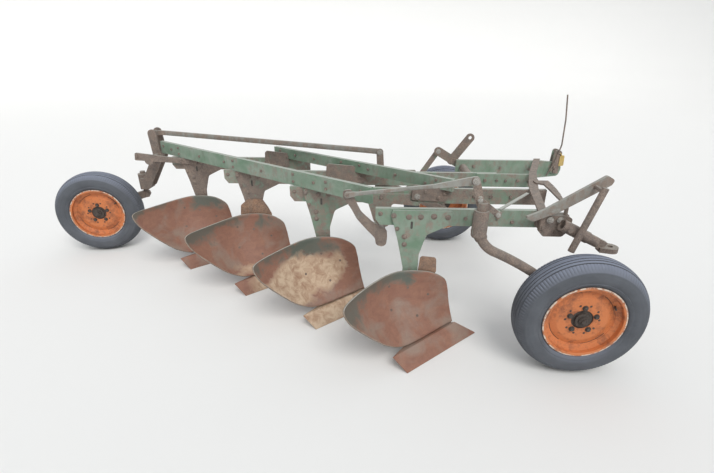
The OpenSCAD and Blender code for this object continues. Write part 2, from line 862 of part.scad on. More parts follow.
module tail_arm() {
    color(brown) place() {
        translate([king_pin[0], king_pin[1], 395]) cylinder(h = 225, r = 20);
        translate([king_pin[0], king_pin[1], 0]) rotate(tail_yaw) translate([0, -16, 0]) {
            rotate([90, 0, 0]) translate([0, 0, -32]) linear_extrude(32)
                strap([0, 425], [-342, tyre_r], 60);
        }
        translate([tail_wheel[0], tail_wheel[1], tail_wheel[2]]) rotate(tail_yaw)
            rod_y([0, 0], -46, 130, 20);
    }
}

// Arm that the lift cylinder pushes
lift_arm_y = 1112;
module lift_arm() {
    color(brown) place() difference() {
        union() {
            plate(lift_arm_y, 12) {
                strap(arm_pivot, arm_eye, 64);
                strap([394, 770], cylinder_eye, 64);
            }
            rod_y(arm_pivot, land_beam_y + 0.5, lift_arm_y + 12, 20);
            rod_y(arm_eye, lift_arm_y + 1, drop_link_y + 16, 10 - play);
        }
        rod_y(cylinder_eye, lift_arm_y - 10, lift_arm_y + 20, 13);
    }
}

// Link from the lift arm down to the land wheel's arm
module drop_link() {
    color(brown) place() difference() {
        plate(drop_link_y, 12) {
            strap(arm_eye, land_arm_pin, 40);
            translate(land_arm_pin) circle(r = 38);
        }
        rod_y(arm_eye, 1120, 1150, 10);
        rod_y(land_arm_pin, 1120, 1150, 24);
    }
}

// Drawbar, as it sags on its pin; its free end has the hole for the tractor's pin
drawbar_y = -106;
hitch_pin = [1034, drawbar_y, 622];
drawbar_tilt = 26;
module drawbar() {
    color(brown) place() difference() {
        union() {
            translate([hitch_pivot[0], drawbar_y, hitch_pivot[1]]) rotate([0, drawbar_tilt, 0]) {
                difference() {
                    rotate([0, 90, 0]) translate([0, 0, -38]) cylinder(h = 158, r = 31);
                    rotate([0, 90, 0]) translate([0, 0, -39]) cylinder(h = 120, r = 24);
                }
                rotate([0, 90, 0]) translate([0, 0, 118]) cylinder(h = 56, r = 27);
                translate([170, -15, -24]) cube([52, 30, 48]);
            }
            hull() {
                translate([hitch_pin[0] - 60, drawbar_y - 24, hitch_pin[2] - 13]) cube([10, 48, 26]);
                translate([hitch_pin[0], drawbar_y, hitch_pin[2] - 13]) cylinder(h = 26, r = 40);
            }
        }
        rod_y(hitch_pivot, -160, -50, 14 + play);
        translate([hitch_pin[0], drawbar_y, hitch_pin[2] - 30]) cylinder(h = 60, r = 14);
    }
}

beam_1();
beam_2();
beam_3();
beam_4();
land_beam();
front_rail();
rear_rail();
gussets();
splice_plate();
cross_bar();
cross_tube();
hitch_clamp();
quadrant();
stay_bar();
stay_tube();
standard_1();
standard_2();
standard_3();
standard_4();
moldboard_1();
moldboard_2();
moldboard_3();
moldboard_4();
frogs();
shares();
landsides();
furrow_bracket();
brace_strip();
cylinder_bracket();
marker_rod();
tag();
shaft_hangers();
tail_bar();
rockshaft();
curved_lever();
land_tyre();
land_rim();
land_hub();
furrow_axle();
furrow_tyre();
furrow_rim();
furrow_hub();
level_bar();
reverse_lever();
lift_link();
tail_mast();
tail_arm();
tail_tyre();
tail_rim();
tail_hub();
lift_arm();
drop_link();
drawbar();
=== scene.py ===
"""Looks of a weathered four-bottom trailed plough.

Paint, rust and soil, ribbed tyres, smooth moldboards, bolts and pins, floor, light and camera.
"""

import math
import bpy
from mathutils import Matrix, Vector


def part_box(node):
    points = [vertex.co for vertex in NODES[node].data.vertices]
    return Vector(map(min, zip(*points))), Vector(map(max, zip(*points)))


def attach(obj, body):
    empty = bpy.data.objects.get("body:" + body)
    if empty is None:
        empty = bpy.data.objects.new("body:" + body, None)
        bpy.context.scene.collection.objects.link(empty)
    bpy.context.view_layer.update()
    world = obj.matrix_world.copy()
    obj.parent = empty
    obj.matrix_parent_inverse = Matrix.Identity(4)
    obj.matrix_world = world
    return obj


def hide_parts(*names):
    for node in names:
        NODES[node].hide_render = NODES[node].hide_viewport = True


bl_info = {
    "name": "Weathered Trailed Plough",
    "version": (1, 0, 0),
    "blender": (4, 5, 0),
    "location": "View3D > Sidebar > Plough",
    "description": "Dresses the plough's frame, bottoms and wheels with worn finishes and small parts",
    "category": "Object",
}

import bmesh
import bpy
from mathutils import Matrix, Vector

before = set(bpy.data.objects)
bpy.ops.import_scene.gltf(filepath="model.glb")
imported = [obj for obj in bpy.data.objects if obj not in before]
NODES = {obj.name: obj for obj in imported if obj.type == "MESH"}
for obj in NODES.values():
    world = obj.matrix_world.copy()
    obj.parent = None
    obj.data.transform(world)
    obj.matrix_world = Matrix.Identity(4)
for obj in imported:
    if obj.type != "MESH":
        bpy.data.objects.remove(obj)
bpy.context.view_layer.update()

# Places are written in millimetres from the first bottom, as in the part's source
FIRST_BEAM_REAR = -0.185
BEAM_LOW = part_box("beam_1")[0]
FIRST_BOTTOM = Vector((BEAM_LOW.x - FIRST_BEAM_REAR, BEAM_LOW.y, 0))
CUT_WIDTH = 356
PITCH = 535
BEAM_THICK = 28
BEAM_TOP = 785
# The legs' near faces stand out this far from their beams
LEG_FACE = 16.2
NEAR = (0, -1, 0)
FAR = (0, 1, 0)
UP = (0, 0, 1)


def at(x, y, z):
    """A point in metres in the model's frame, from millimetres at the first bottom."""
    return FIRST_BOTTOM + Vector((x, y, z)) / 1000


# Node trees

COLOUR = "NodeSocketColor"
NUMBER = "NodeSocketFloat"
PLACE = "NodeSocketVector"
# Sockets of a mix node for colours
MIX_FACTOR, MIX_A, MIX_B, MIX_RESULT = 0, 6, 7, 2
COLUMN_WIDTH = 200
ROW_HEIGHT = 180

# Colours of wear, and of painted shade and highlight, that no setting changes
DARK_FLECKS = (0.045, 0.034, 0.032)
BLEACHED_PAINT = (0.235, 0.225, 0.205)
ORANGE_RUST = (0.37, 0.185, 0.12)
GREY_BROWN = (0.33, 0.27, 0.22)
DARK_RUST = (0.15, 0.085, 0.07)
# Dark steel with painted shade, for the band under a moldboard's top edge
BROWN_STEEL_AND_SHADE = (0.11, 0.075, 0.06)
DAMP_SOIL = (0.33, 0.2, 0.13)
DEEP_ORANGE = (0.38, 0.115, 0.045)
LIT_ORANGE = (0.78, 0.36, 0.18)
GREY_RUBBER = (0.135, 0.15, 0.175)
DUSTY_RUBBER = (0.2, 0.2, 0.2)
# A painted highlight of sky light on the tyres' upper faces
SKY_LIT_RUBBER = (0.27, 0.3, 0.385)


def add_node(tree, kind, inputs=None, **values):
    """Adds one node, sets its properties and feeds its inputs from sockets or values, by name or number."""
    node = tree.nodes.new(kind)
    for name, value in values.items():
        setattr(node, name, value)
    for name, value in (inputs or {}).items():
        if isinstance(value, bpy.types.NodeSocket):
            tree.links.new(value, node.inputs[name])
        elif value is not None:
            node.inputs[name].default_value = value
    return node


def ramp(tree, factor, stops):
    """A grey ramp over factor, with stops of (position, value)."""
    node = add_node(tree, "ShaderNodeValToRGB", {"Fac": factor})
    for element, (position, value) in zip(node.color_ramp.elements, stops):
        element.position = position
        element.color = (value, value, value, 1)
    return node.outputs["Color"]


def mix_colour(tree, factor, a, b):
    """Mixes two colours, each a socket or a value."""
    a, b = [value if isinstance(value, bpy.types.NodeSocket) else (*value, 1) for value in (a, b)]
    node = add_node(tree, "ShaderNodeMix", {MIX_FACTOR: factor, MIX_A: a, MIX_B: b}, data_type="RGBA")
    return node.outputs[MIX_RESULT]


def math_node(tree, operation, a, b, clamp=False):
    """Works on two numbers, each a socket or a value."""
    return add_node(tree, "ShaderNodeMath", {0: a, 1: b}, operation=operation, use_clamp=clamp).outputs[0]


def plus(tree, a, b):
    return math_node(tree, "ADD", a, b)


def minus(tree, a, b):
    return math_node(tree, "SUBTRACT", a, b)


def times(tree, a, b, clamp=False):
    return math_node(tree, "MULTIPLY", a, b, clamp)


def weighted(tree, first, *others):
    """Adds up sockets, each times its weight."""
    total = times(tree, *first)
    for socket, weight in others:
        total = plus(tree, total, times(tree, socket, weight))
    return total


def vector_node(tree, operation, a, b=None):
    """Works on vectors. A length comes out as a number."""
    node = add_node(tree, "ShaderNodeVectorMath", {0: a, 1: b}, operation=operation)
    return node.outputs["Value" if operation == "LENGTH" else "Vector"]


def noise(tree, coordinates, scale, detail, roughness=0.6, distortion=0.0):
    return add_node(tree, "ShaderNodeTexNoise", {
        "Vector": coordinates, "Scale": scale, "Detail": detail,
        "Roughness": roughness, "Distortion": distortion}).outputs["Fac"]


def object_place(tree):
    """The place on the object, which is the place in the model's frame."""
    return add_node(tree, "ShaderNodeTexCoord").outputs["Object"]


def stretched(tree, coordinates, **mapping):
    """Coordinates turned and scaled by a mapping."""
    return add_node(tree, "ShaderNodeMapping", {"Vector": coordinates, **mapping}).outputs["Vector"]


def facing_sky(tree, stops):
    """A ramp over how far the surface faces up."""
    normal = add_node(tree, "ShaderNodeNewGeometry").outputs["Normal"]
    return ramp(tree, add_node(tree, "ShaderNodeSeparateXYZ", {0: normal}).outputs["Z"], stops)


def lay_out(tree):
    """Sets the nodes in columns, by their distance from the output."""
    column = {node.name: 0 for node in tree.nodes}
    for _ in tree.nodes:
        for link in tree.links:
            behind = column[link.to_node.name] + 1
            column[link.from_node.name] = max(column[link.from_node.name], behind)
    filled = {}
    for node in tree.nodes:
        place = column[node.name]
        row = filled.get(place, 0)
        filled[place] = row + 1
        node.location = (-COLUMN_WIDTH * place, -ROW_HEIGHT * row)


def new_group(name, inputs):
    """A shader group, its given values and its results. Inputs are (name, type, default)."""
    group = bpy.data.node_groups.new(name, "ShaderNodeTree")
    for label, kind, default in inputs:
        group.interface.new_socket(label, in_out="INPUT", socket_type=kind).default_value = default
    for label, kind in (("Color", COLOUR), ("Roughness", NUMBER), ("Height", NUMBER)):
        group.interface.new_socket(label, in_out="OUTPUT", socket_type=kind)
    return group, add_node(group, "NodeGroupInput").outputs, add_node(group, "NodeGroupOutput").inputs


def weathered_group():
    """Faded paint worn through to rust in small mottles and streaks, with upper faces made pale by dust and
    by a painted sheen of sky light.
    """
    name = "Weathered Paint"
    if name in bpy.data.node_groups:
        return bpy.data.node_groups[name]
    group, given, result = new_group(name, [
        ("Paint", COLOUR, (0.3, 0.45, 0.38, 1)),
        ("Rust", COLOUR, (0.2, 0.12, 0.1, 1)),
        ("Bright Rust", COLOUR, (0.4, 0.2, 0.1, 1)),
        ("Pale", COLOUR, (0.6, 0.6, 0.58, 1)),
        ("Bare Amount", NUMBER, 0.5),
        ("Pale Amount", NUMBER, 0.5)])
    link = group.links.new
    place = object_place(group)
    broad = noise(group, place, 5.5, 4, 0.6, 0.6)
    mottles = noise(group, place, 21, 8, 0.72, 0.5)
    streaks = noise(group, stretched(group, place, Scale=(1.0, 1.0, 0.4)), 34, 5, 0.65)
    fine = noise(group, place, 95, 5, 0.7)
    # Bare where broad patches, mottles, streaks and fine flakes add up past the amount
    total = weighted(group, (broad, 0.5), (mottles, 0.55), (streaks, 0.3), (fine, 0.15))
    excess = plus(group, total, minus(group, given["Bare Amount"], 1.25))
    bare = times(group, excess, 7.5, clamp=True)
    fringe = times(group, plus(group, excess, 0.07), 7.0, clamp=True)
    speckle = ramp(group, noise(group, place, 210, 3), [(0.45, 0.0), (0.62, 1.0)])
    # Faded paint is chalky in broad areas and darker down its streaks
    chalk = ramp(group, broad, [(0.3, 0.1), (0.7, 0.62)])
    lighter = mix_colour(group, chalk, given["Paint"], given["Pale"])
    run_down = ramp(group, streaks, [(0.5, 0.0), (0.8, 0.4)])
    stained = mix_colour(group, run_down, lighter, given["Rust"])
    rust_tone = ramp(group, mottles, [(0.34, 0.0), (0.66, 1.0)])
    rusty = mix_colour(group, rust_tone, given["Rust"], given["Bright Rust"])
    faded_rust = mix_colour(group, times(group, streaks, 0.34), rusty, given["Pale"])
    mottled = mix_colour(group, times(group, speckle, 0.45), faded_rust, DARK_FLECKS)
    edged = mix_colour(group, fringe, stained, faded_rust)
    surface = mix_colour(group, bare, edged, mottled)
    # Upper faces are painted pale: partly dust, partly a painted sheen of sky light
    upper = facing_sky(group, [(0.72, 0.0), (0.95, 1.0)])
    grain = plus(group, times(group, mottles, 0.9), 0.3)
    dust_and_sky_sheen = times(group, times(group, upper, grain), given["Pale Amount"], clamp=True)
    link(mix_colour(group, dust_and_sky_sheen, surface, given["Pale"]), result["Color"])
    grit = plus(group, times(group, fine, 0.2), 0.5)
    link(plus(group, times(group, bare, 0.2), grit), result["Roughness"])
    link(minus(group, times(group, fine, 0.6), times(group, bare, 0.4)), result["Height"])
    lay_out(group)
    return group


def soil_group():
    """A scoured face: a dark band under the top edge, partly dark steel and partly painted shade of the
    curled edge, mottled rust, bare steel and a patch of dry mud.
    """
    name = "Scoured And Soiled"
    if name in bpy.data.node_groups:
        return bpy.data.node_groups[name]
    group, given, result = new_group(name, [
        ("Rust", COLOUR, (0.25, 0.1, 0.07, 1)),
        ("Bare", COLOUR, (0.15, 0.18, 0.17, 1)),
        ("Soil", COLOUR, (0.5, 0.35, 0.25, 1)),
        ("Leg X", NUMBER, 0.0),
        ("Top Edge", NUMBER, 0.43),
        ("Dark And Shaded Band", NUMBER, 0.1),
        ("Bare Place", PLACE, (0, 0, 0)),
        ("Bare Size", NUMBER, 0.15),
        ("Mud Place", PLACE, (0, 0, 0)),
        ("Mud Size", NUMBER, 0.2)])
    link = group.links.new
    place = object_place(group)
    broad = noise(group, place, 5, 4, 0.55, 0.5)
    ragged = noise(group, place, 19, 7, 0.68, 0.6)
    fine = noise(group, place, 130, 5, 0.7)
    leaning = stretched(group, place, Rotation=(0.0, 0.6, 0.0), Scale=(0.9, 0.9, 7.0))
    scratches = noise(group, leaning, 7, 6, 0.7, 0.2)
    apart = add_node(group, "ShaderNodeSeparateXYZ", {0: place}).outputs
    wander = minus(group, weighted(group, (broad, 0.34), (ragged, 0.22)), 0.28)

    def near_place(spot, size, squash):
        """One at the named place, falling to nothing a size away, with a ragged edge."""
        away = vector_node(group, "SUBTRACT", place, given[spot])
        flat = vector_node(group, "MULTIPLY", away, (1.0, 0.35, squash))
        left = minus(group, given[size], vector_node(group, "LENGTH", flat))
        return times(group, plus(group, left, times(group, wander, 1.1)), 13.0, clamp=True)

    mud = near_place("Mud Place", "Mud Size", 2.2)
    bare_spot = near_place("Bare Place", "Bare Size", 1.2)
    # The dark band, partly dark steel and partly painted shade under the curled top edge, is deep at the wing
    # and thins out towards the shin
    ahead = minus(group, apart["X"], given["Leg X"])
    fade = add_node(group, "ShaderNodeMapRange", {
        "Value": ahead, "From Min": -0.3, "From Max": 0.2, "To Min": -0.03, "To Max": 0.13}).outputs[0]
    drop = plus(group, minus(group, given["Top Edge"], given["Dark And Shaded Band"]), fade)
    above = plus(group, minus(group, apart["Z"], drop), wander)
    dark_and_shaded_band = times(group, above, 16.0, clamp=True)
    # Rust runs from orange to a dull grey-brown, with faint streaks the way that the soil slides
    tone = weighted(group, (scratches, 0.38), (ragged, 0.77))
    rusty = mix_colour(group, ramp(group, tone, [(0.4, 0.0), (0.78, 1.0)]), given["Rust"], ORANGE_RUST)
    greyed = mix_colour(group, ramp(group, broad, [(0.46, 0.0), (0.62, 0.7)]), rusty, GREY_BROWN)
    flecked = mix_colour(group, times(group, fine, 0.5), greyed, DARK_RUST)
    # The band's colour is dark steel with painted shade under the curled top edge
    dark_steel_and_shade = mix_colour(group, times(group, ragged, 0.5), given["Bare"], BROWN_STEEL_AND_SHADE)
    banded = mix_colour(group, times(group, dark_and_shaded_band, 0.85), flecked, dark_steel_and_shade)
    scoured = mix_colour(group, times(group, bare_spot, 0.9), banded, given["Bare"])
    clods = ramp(group, ragged, [(0.4, 0.0), (0.66, 1.0)])
    caked = mix_colour(group, clods, given["Soil"], DAMP_SOIL)
    link(mix_colour(group, mud, scoured, caked), result["Color"])
    steel_share = math_node(group, "MAXIMUM", dark_and_shaded_band, bare_spot)
    smooth = minus(group, 0.6, times(group, steel_share, 0.16))
    link(plus(group, times(group, mud, 0.3), smooth), result["Roughness"])
    cake = times(group, mud, plus(group, ragged, 0.3))
    link(plus(group, cake, times(group, fine, 0.35)), result["Height"])
    lay_out(group)
    return group


def wheel_group():
    """Orange paint round a wheel's axis: chipped pale on the flange, and freckled with rust."""
    name = "Worn Wheel Paint"
    if name in bpy.data.node_groups:
        return bpy.data.node_groups[name]
    group, given, result = new_group(name, [
        ("Paint", COLOUR, (0.56, 0.17, 0.055, 1)),
        ("Rust", COLOUR, (0.2, 0.08, 0.05, 1)),
        ("Chipped", COLOUR, (0.7, 0.6, 0.5, 1)),
        ("Centre", PLACE, (0, 0, 0)),
        ("Axis", PLACE, (0, 1, 0)),
        ("Flange Radius", NUMBER, 0.1965)])
    link = group.links.new
    place = object_place(group)
    broad = noise(group, place, 9, 5, 0.6, 0.6)
    ragged = noise(group, place, 38, 7, 0.7, 0.4)
    fine = noise(group, place, 170, 4, 0.7)
    from_centre = vector_node(group, "SUBTRACT", place, given["Centre"])
    across = vector_node(group, "CROSS_PRODUCT", from_centre, given["Axis"])
    past_flange = minus(group, vector_node(group, "LENGTH", across), given["Flange Radius"])
    flange = times(group, past_flange, 400.0, clamp=True)
    spots = ramp(group, weighted(group, (broad, 0.6), (ragged, 0.6)), [(0.56, 0.0), (0.74, 1.0)])
    shade = mix_colour(group, times(group, broad, 0.55), given["Paint"], DEEP_ORANGE)
    lit = mix_colour(group, times(group, fine, 0.3), shade, LIT_ORANGE)
    rusted = mix_colour(group, times(group, spots, 0.8), lit, given["Rust"])
    chipped = times(group, flange, ramp(group, ragged, [(0.43, 0.0), (0.55, 1.0)]))
    rim_rust = mix_colour(group, times(group, flange, 0.45), rusted, given["Rust"])
    link(mix_colour(group, chipped, rim_rust, given["Chipped"]), result["Color"])
    link(plus(group, times(group, spots, 0.25), 0.45), result["Roughness"])
    link(minus(group, fine, spots), result["Height"])
    lay_out(group)
    return group


def new_material(name, specular):
    """A material, with its node tree and its Principled shader."""
    material = bpy.data.materials.new(name)
    material.use_nodes = True
    shader = material.node_tree.nodes["Principled BSDF"]
    shader.inputs["Specular IOR Level"].default_value = specular
    return material, material.node_tree, shader


def add_bump(tree, shader, height, strength, distance):
    bumped = add_node(tree, "ShaderNodeBump", {"Strength": strength, "Distance": distance, "Height": height})
    tree.links.new(bumped.outputs["Normal"], shader.inputs["Normal"])


def finish_material(name, group, values, bump=0.25, distance=0.002, specular=0.35):
    """A Principled material fed by one of the groups."""
    material, tree, shader = new_material(name, specular)
    effect = add_node(tree, "ShaderNodeGroup", node_tree=group)
    for key, value in values.items():
        socket = effect.inputs[key]
        socket.default_value = (*value, 1) if socket.type == "RGBA" else value
    tree.links.new(effect.outputs["Color"], shader.inputs["Base Color"])
    tree.links.new(effect.outputs["Roughness"], shader.inputs["Roughness"])
    add_bump(tree, shader, effect.outputs["Height"], bump, distance)
    lay_out(tree)
    return material


def rubber_material(name, colour):
    """Weathered rubber: greyed and finely cracked, with a painted pale-blue highlight of sky light where it
    faces up.
    """
    material, tree, shader = new_material(name, 0.3)
    place = object_place(tree)
    broad = noise(tree, place, 9, 4)
    fine = noise(tree, place, 160, 4, 0.7)
    greyed = mix_colour(tree, times(tree, broad, 0.9), colour, GREY_RUBBER)
    dusty = mix_colour(tree, times(tree, fine, 0.25), greyed, DUSTY_RUBBER)
    # Upper faces get a painted highlight of blue sky light
    upper = facing_sky(tree, [(0.25, 0.0), (0.95, 0.62)])
    tree.links.new(mix_colour(tree, upper, dusty, SKY_LIT_RUBBER), shader.inputs["Base Color"])
    tree.links.new(plus(tree, times(tree, fine, 0.25), 0.6), shader.inputs["Roughness"])
    add_bump(tree, shader, fine, 0.25, 0.001)
    lay_out(tree)
    return material


# Mesh pieces

def new_object(mesh, name, materials, smooth):
    """Makes an object at the origin of a bmesh whose places are in the model's frame, and frees the bmesh."""
    data = bpy.data.meshes.new(name)
    mesh.to_mesh(data)
    mesh.free()
    for polygon in data.polygons:
        polygon.use_smooth = smooth
    for material in materials:
        data.materials.append(material)
    item = bpy.data.objects.new(name, data)
    bpy.context.scene.collection.objects.link(item)
    return item


def finish_piece(mesh, name, body, material, smooth=False):
    """Cleans a bmesh and makes it a piece that rides on a body."""
    bmesh.ops.remove_doubles(mesh, verts=mesh.verts, dist=0.00002)
    bmesh.ops.recalc_face_normals(mesh, faces=mesh.faces)
    piece = new_object(mesh, name, [material], smooth)
    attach(piece, body)
    return piece


def set_finish(node, material):
    """Gives a node of the frame one material."""
    NODES[node].data.materials.clear()
    NODES[node].data.materials.append(material)


def turn_to(axis):
    """Turns the z axis to the given way."""
    return Vector(UP).rotation_difference(Vector(axis)).to_matrix().to_4x4()


def add_cone(mesh, stand, radius, end_radius, depth, middle, segments):
    """A closed cone or cylinder along z of stand, with its middle at the given height."""
    return bmesh.ops.create_cone(mesh, cap_ends=True, segments=segments, radius1=radius, radius2=end_radius,
                                 depth=depth, matrix=stand @ Matrix.Translation((0, 0, middle)))


def add_bolt(mesh, place, axis, radius, tall, washer=0.0):
    """A six-sided head or nut that stands on a face at place, with a chamfered top and a washer."""
    stand = Matrix.Translation(place) @ turn_to(axis)
    made = add_cone(mesh, stand, radius, radius, tall, tall / 2, 6)
    faces = {face for vert in made["verts"] for face in vert.link_faces}
    rim = [edge for face in faces if face.normal.dot(Vector(axis)) > 0.9 for edge in face.edges]
    if rim:
        bmesh.ops.bevel(mesh, geom=rim, offset=radius * 0.16, segments=2, profile=0.5,
                        affect="EDGES", material=-1)
    if washer:
        add_cone(mesh, stand, washer, washer, 0.003, 0.0012, 20)


def add_dome(mesh, place, axis, radius, tall):
    """A low domed bolt head on a narrow rim."""
    stand = Matrix.Translation(place) @ turn_to(axis)
    add_cone(mesh, stand, radius, radius * 0.96, tall * 0.3, tall * 0.15, 20)
    flat = Matrix.Diagonal((0.9, 0.9, tall * 0.85 / radius, 1))
    bmesh.ops.create_uvsphere(mesh, u_segments=20, v_segments=10, radius=radius, matrix=stand @ flat)


def add_slot(mesh, place, axis, radius, half):
    """A thin dark sheet of painted shade at the mouth of a slot, which stands upright in a face."""
    stand = Matrix.Translation(place) @ turn_to(axis)
    made = add_cone(mesh, Matrix.Identity(4), radius, radius * 0.9, 0.0012, 0.0003, 24)
    for vert in made["verts"]:
        vert.co.y += (half - radius) * (1 if vert.co.y > 0 else -1)
        vert.co = stand @ vert.co


def add_round(mesh, place, axis, radius, tall, segments=20):
    """A round stub that narrows to its end."""
    add_cone(mesh, Matrix.Translation(place) @ turn_to(axis), radius, radius * 0.78, tall, tall / 2, segments)


def round_z(radius, angle, z=0.0):
    """A point at a radius and an angle round z."""
    return Vector((radius * math.cos(angle), radius * math.sin(angle), z))


def closed_loop(mesh, points):
    """Vertices at the points and the edges that close them to a loop."""
    ring = [mesh.verts.new(point) for point in points]
    return ring + [mesh.edges.new((ring[k - 1], ring[k])) for k in range(len(ring))]


# What a user would change

def colour_setting(name, description, default):
    return bpy.props.FloatVectorProperty(
        name=name, description=description, subtype="COLOR", default=default, min=0, max=1)


def length_setting(name, description, default, low, high):
    return bpy.props.FloatProperty(
        name=name, description=description, default=default, min=low, max=high,
        subtype="DISTANCE", unit="LENGTH")


class PloughFinish(bpy.types.PropertyGroup):
    paint: colour_setting("Paint", "Faded paint of the frame", (0.135, 0.235, 0.155))
    rust: colour_setting("Rust", "Old purple-brown rust", (0.135, 0.098, 0.086))
    bright_rust: colour_setting("Bright rust", "Fresh rust at the edge of the paint", (0.3, 0.21, 0.165))
    # Upper faces take this pale colour: dust, and a painted sheen of sky light
    pale: colour_setting("Pale", "Dust and sun on upper faces", (0.42, 0.44, 0.4))
    wheel_paint: colour_setting("Wheel paint", "Paint of the rims", (0.62, 0.185, 0.055))
    board_rust: colour_setting("Board rust", "Rust on the moldboards", (0.25, 0.118, 0.082))
    bare_steel: colour_setting("Bare steel", "Scoured steel on the moldboards", (0.105, 0.125, 0.105))
    soil: colour_setting("Soil", "Dry soil on the moldboards", (0.56, 0.43, 0.31))
    rubber: colour_setting("Rubber", "Weathered rubber of the tyres", (0.045, 0.05, 0.061))


class PloughTyre(bpy.types.PropertyGroup):
    groove_depth: length_setting("Groove depth", "Depth of the tread's grooves", 0.008, 0.0, 0.015)
    notch_depth: length_setting("Notch depth", "How far the shoulder's notches sink", 0.0016, 0.0, 0.01)
    steps: bpy.props.IntProperty(
        name="Steps", description="Steps round the tyre, four to each notch", default=480, min=64, max=640)


class PloughBoard(bpy.types.PropertyGroup):
    along: bpy.props.IntProperty(
        name="Steps along", description="Faces along a moldboard", default=72, min=18, max=160)
    up: bpy.props.IntProperty(
        name="Steps up", description="Faces from a moldboard's foot to its top", default=28, min=8, max=64)


class PloughBolt(bpy.types.PropertyGroup):
    tall: length_setting("Head height", "Height of the frame's bolt heads", 0.009, 0.003, 0.02)


class PloughStage(bpy.types.PropertyGroup):
    floor: colour_setting("Floor", "Colour of the floor and backdrop", (0.8, 0.8, 0.79))
    lens: bpy.props.FloatProperty(
        name="Lens", description="Focal length on a 36 mm wide sensor", default=21.42, min=10, max=100)
    key: bpy.props.FloatProperty(
        name="Key light", description="Strength of the high soft lamp", default=1.9, min=0, max=10)
    sky: bpy.props.FloatProperty(
        name="Sky light", description="Strength of the even light all round", default=0.75, min=0, max=5)


MATERIALS = {}


def worn(name, bare, pale, paint=None, rust=None, bright=None, dust_and_sky_sheen=None, **looks):
    """A weathered paint finish, made once for each name."""
    if name not in MATERIALS:
        finish = bpy.context.scene.plough_finish
        MATERIALS[name] = finish_material(name, weathered_group(), {
            "Paint": tuple(paint or finish.paint), "Rust": tuple(rust or finish.rust),
            "Bright Rust": tuple(bright or finish.bright_rust), "Pale": tuple(dust_and_sky_sheen or finish.pale),
            "Bare Amount": bare, "Pale Amount": pale}, **looks)
    return MATERIALS[name]


def bright_steel():
    """Steel that is rubbed pale."""
    return worn("Rubbed Steel", 0.9, 0.9, rust=(0.3, 0.27, 0.24), bright=(0.5, 0.48, 0.45), bump=0.2)


# Rows are [node, share of bare rust, pale upper faces of dust and painted sky sheen]
PAINTED_NODES = [
    ["beam_1", 0.42, 0.85], ["beam_2", 0.54, 0.75], ["beam_3", 0.46, 0.75], ["beam_4", 0.52, 0.7],
    ["land_beam", 0.43, 0.75], ["front_rail", 0.4, 0.9], ["rear_rail", 0.43, 0.9], ["gussets", 0.66, 0.5],
    ["splice_plate", 0.45, 0.75], ["cross_bar", 0.75, 0.12], ["cross_tube", 0.7, 0.3],
    ["hitch_clamp", 0.64, 0.35], ["quadrant", 0.75, 0.12], ["stay_bar", 0.5, 0.8],
    ["stay_tube", 0.85, 0.5], ["brace_strip", 0.4, 0.9], ["standard_1", 0.43, 0.5],
    ["standard_2", 0.52, 0.5], ["standard_3", 0.6, 0.4], ["standard_4", 0.66, 0.4],
    ["furrow_bracket", 0.62, 0.3], ["cylinder_bracket", 0.6, 0.4], ["marker_rod", 0.9, 0.1],
    ["shaft_hangers", 0.55, 0.3], ["tail_bar", 0.66, 0.5], ["rockshaft", 0.7, 0.4],
    ["curved_lever", 0.66, 0.7], ["furrow_axle", 0.62, 0.45], ["level_bar", 0.46, 0.95],
    ["reverse_lever", 0.66, 0.5], ["lift_link", 0.53, 0.8], ["tail_mast", 0.66, 0.5],
    ["tail_arm", 0.7, 0.4], ["lift_arm", 0.6, 0.5], ["drop_link", 0.64, 0.4], ["drawbar", 0.7, 0.4],
]
# Those whose paint is gone to a pale grey
BLEACHED_NODES = ("level_bar", "stay_bar", "brace_strip", "lift_link", "curved_lever", "standard_4")


class PLOUGH_OT_frame_finish(bpy.types.Operator):
    """Gives the frame, levers and links their faded paint and rust"""
    bl_idname = "plough.frame_finish"
    bl_label = "Frame Finish"

    def execute(self, context):
        for node, bare, pale in PAINTED_NODES:
            bleached = node in BLEACHED_NODES
            kind = "Bleached Steel" if bleached else "Worn Paint"
            paint = BLEACHED_PAINT if bleached else None
            name = "%s %02d %02d" % (kind, round(bare * 100), round(pale * 100))
            set_finish(node, worn(name, bare, pale, paint=paint, bump=0.35, distance=0.0015))
        set_finish("frogs", worn("Rusty Casting", 0.95, 0.1, rust=(0.17, 0.09, 0.06),
                                 bright=(0.42, 0.22, 0.12), bump=0.6, distance=0.003))
        set_finish("tag", worn("Yellow Tag", 0.12, 0.1, paint=(0.8, 0.5, 0.02), bump=0.05))
        return {"FINISHED"}


# Moldboards: stations from the shin to the wing tip, in millimetres from the bottom's leg. Rows are
# [foot x, foot y, foot z, top x, top y, top z, hollow of the section]
STATIONS = [
    [285, 0, 85, 238, 0, 315, 8],
    [235, -40, 85, 215, -10, 375, 24],
    [160, -105, 84, 140, -20, 420, 42],
    [70, -185, 86, 50, -26, 434, 56],
    [-20, -262, 98, -40, -38, 434, 62],
    [-100, -328, 150, -120, -86, 428, 58],
    [-172, -376, 222, -200, -172, 422, 44],
    [-236, -404, 286, -268, -270, 420, 27],
    [-282, -420, 332, -312, -360, 424, 11],
    [-306, -428, 358, -334, -424, 432, 2],
]
HOLLOW_WAY = Vector((-0.62, 0.75, -0.25)).normalized()
BOARD_THICK = 9
BOARD_FOOT = 85
BOARD_TALL = 349
# The top edge's height as the dark band of steel and painted shade takes it, and the board's place in front
# of the first beam's side
BAND_EDGE = 430
BOARD_OUT = 24
# How far in front of that place the middles of the bare and muddy patches stand
BARE_OUT = 60
MUD_OUT = 150
# Shares of the board's length where the wing's tip and the shin's corner start to round
TIP_START = 0.82
SHIN_END = 0.12
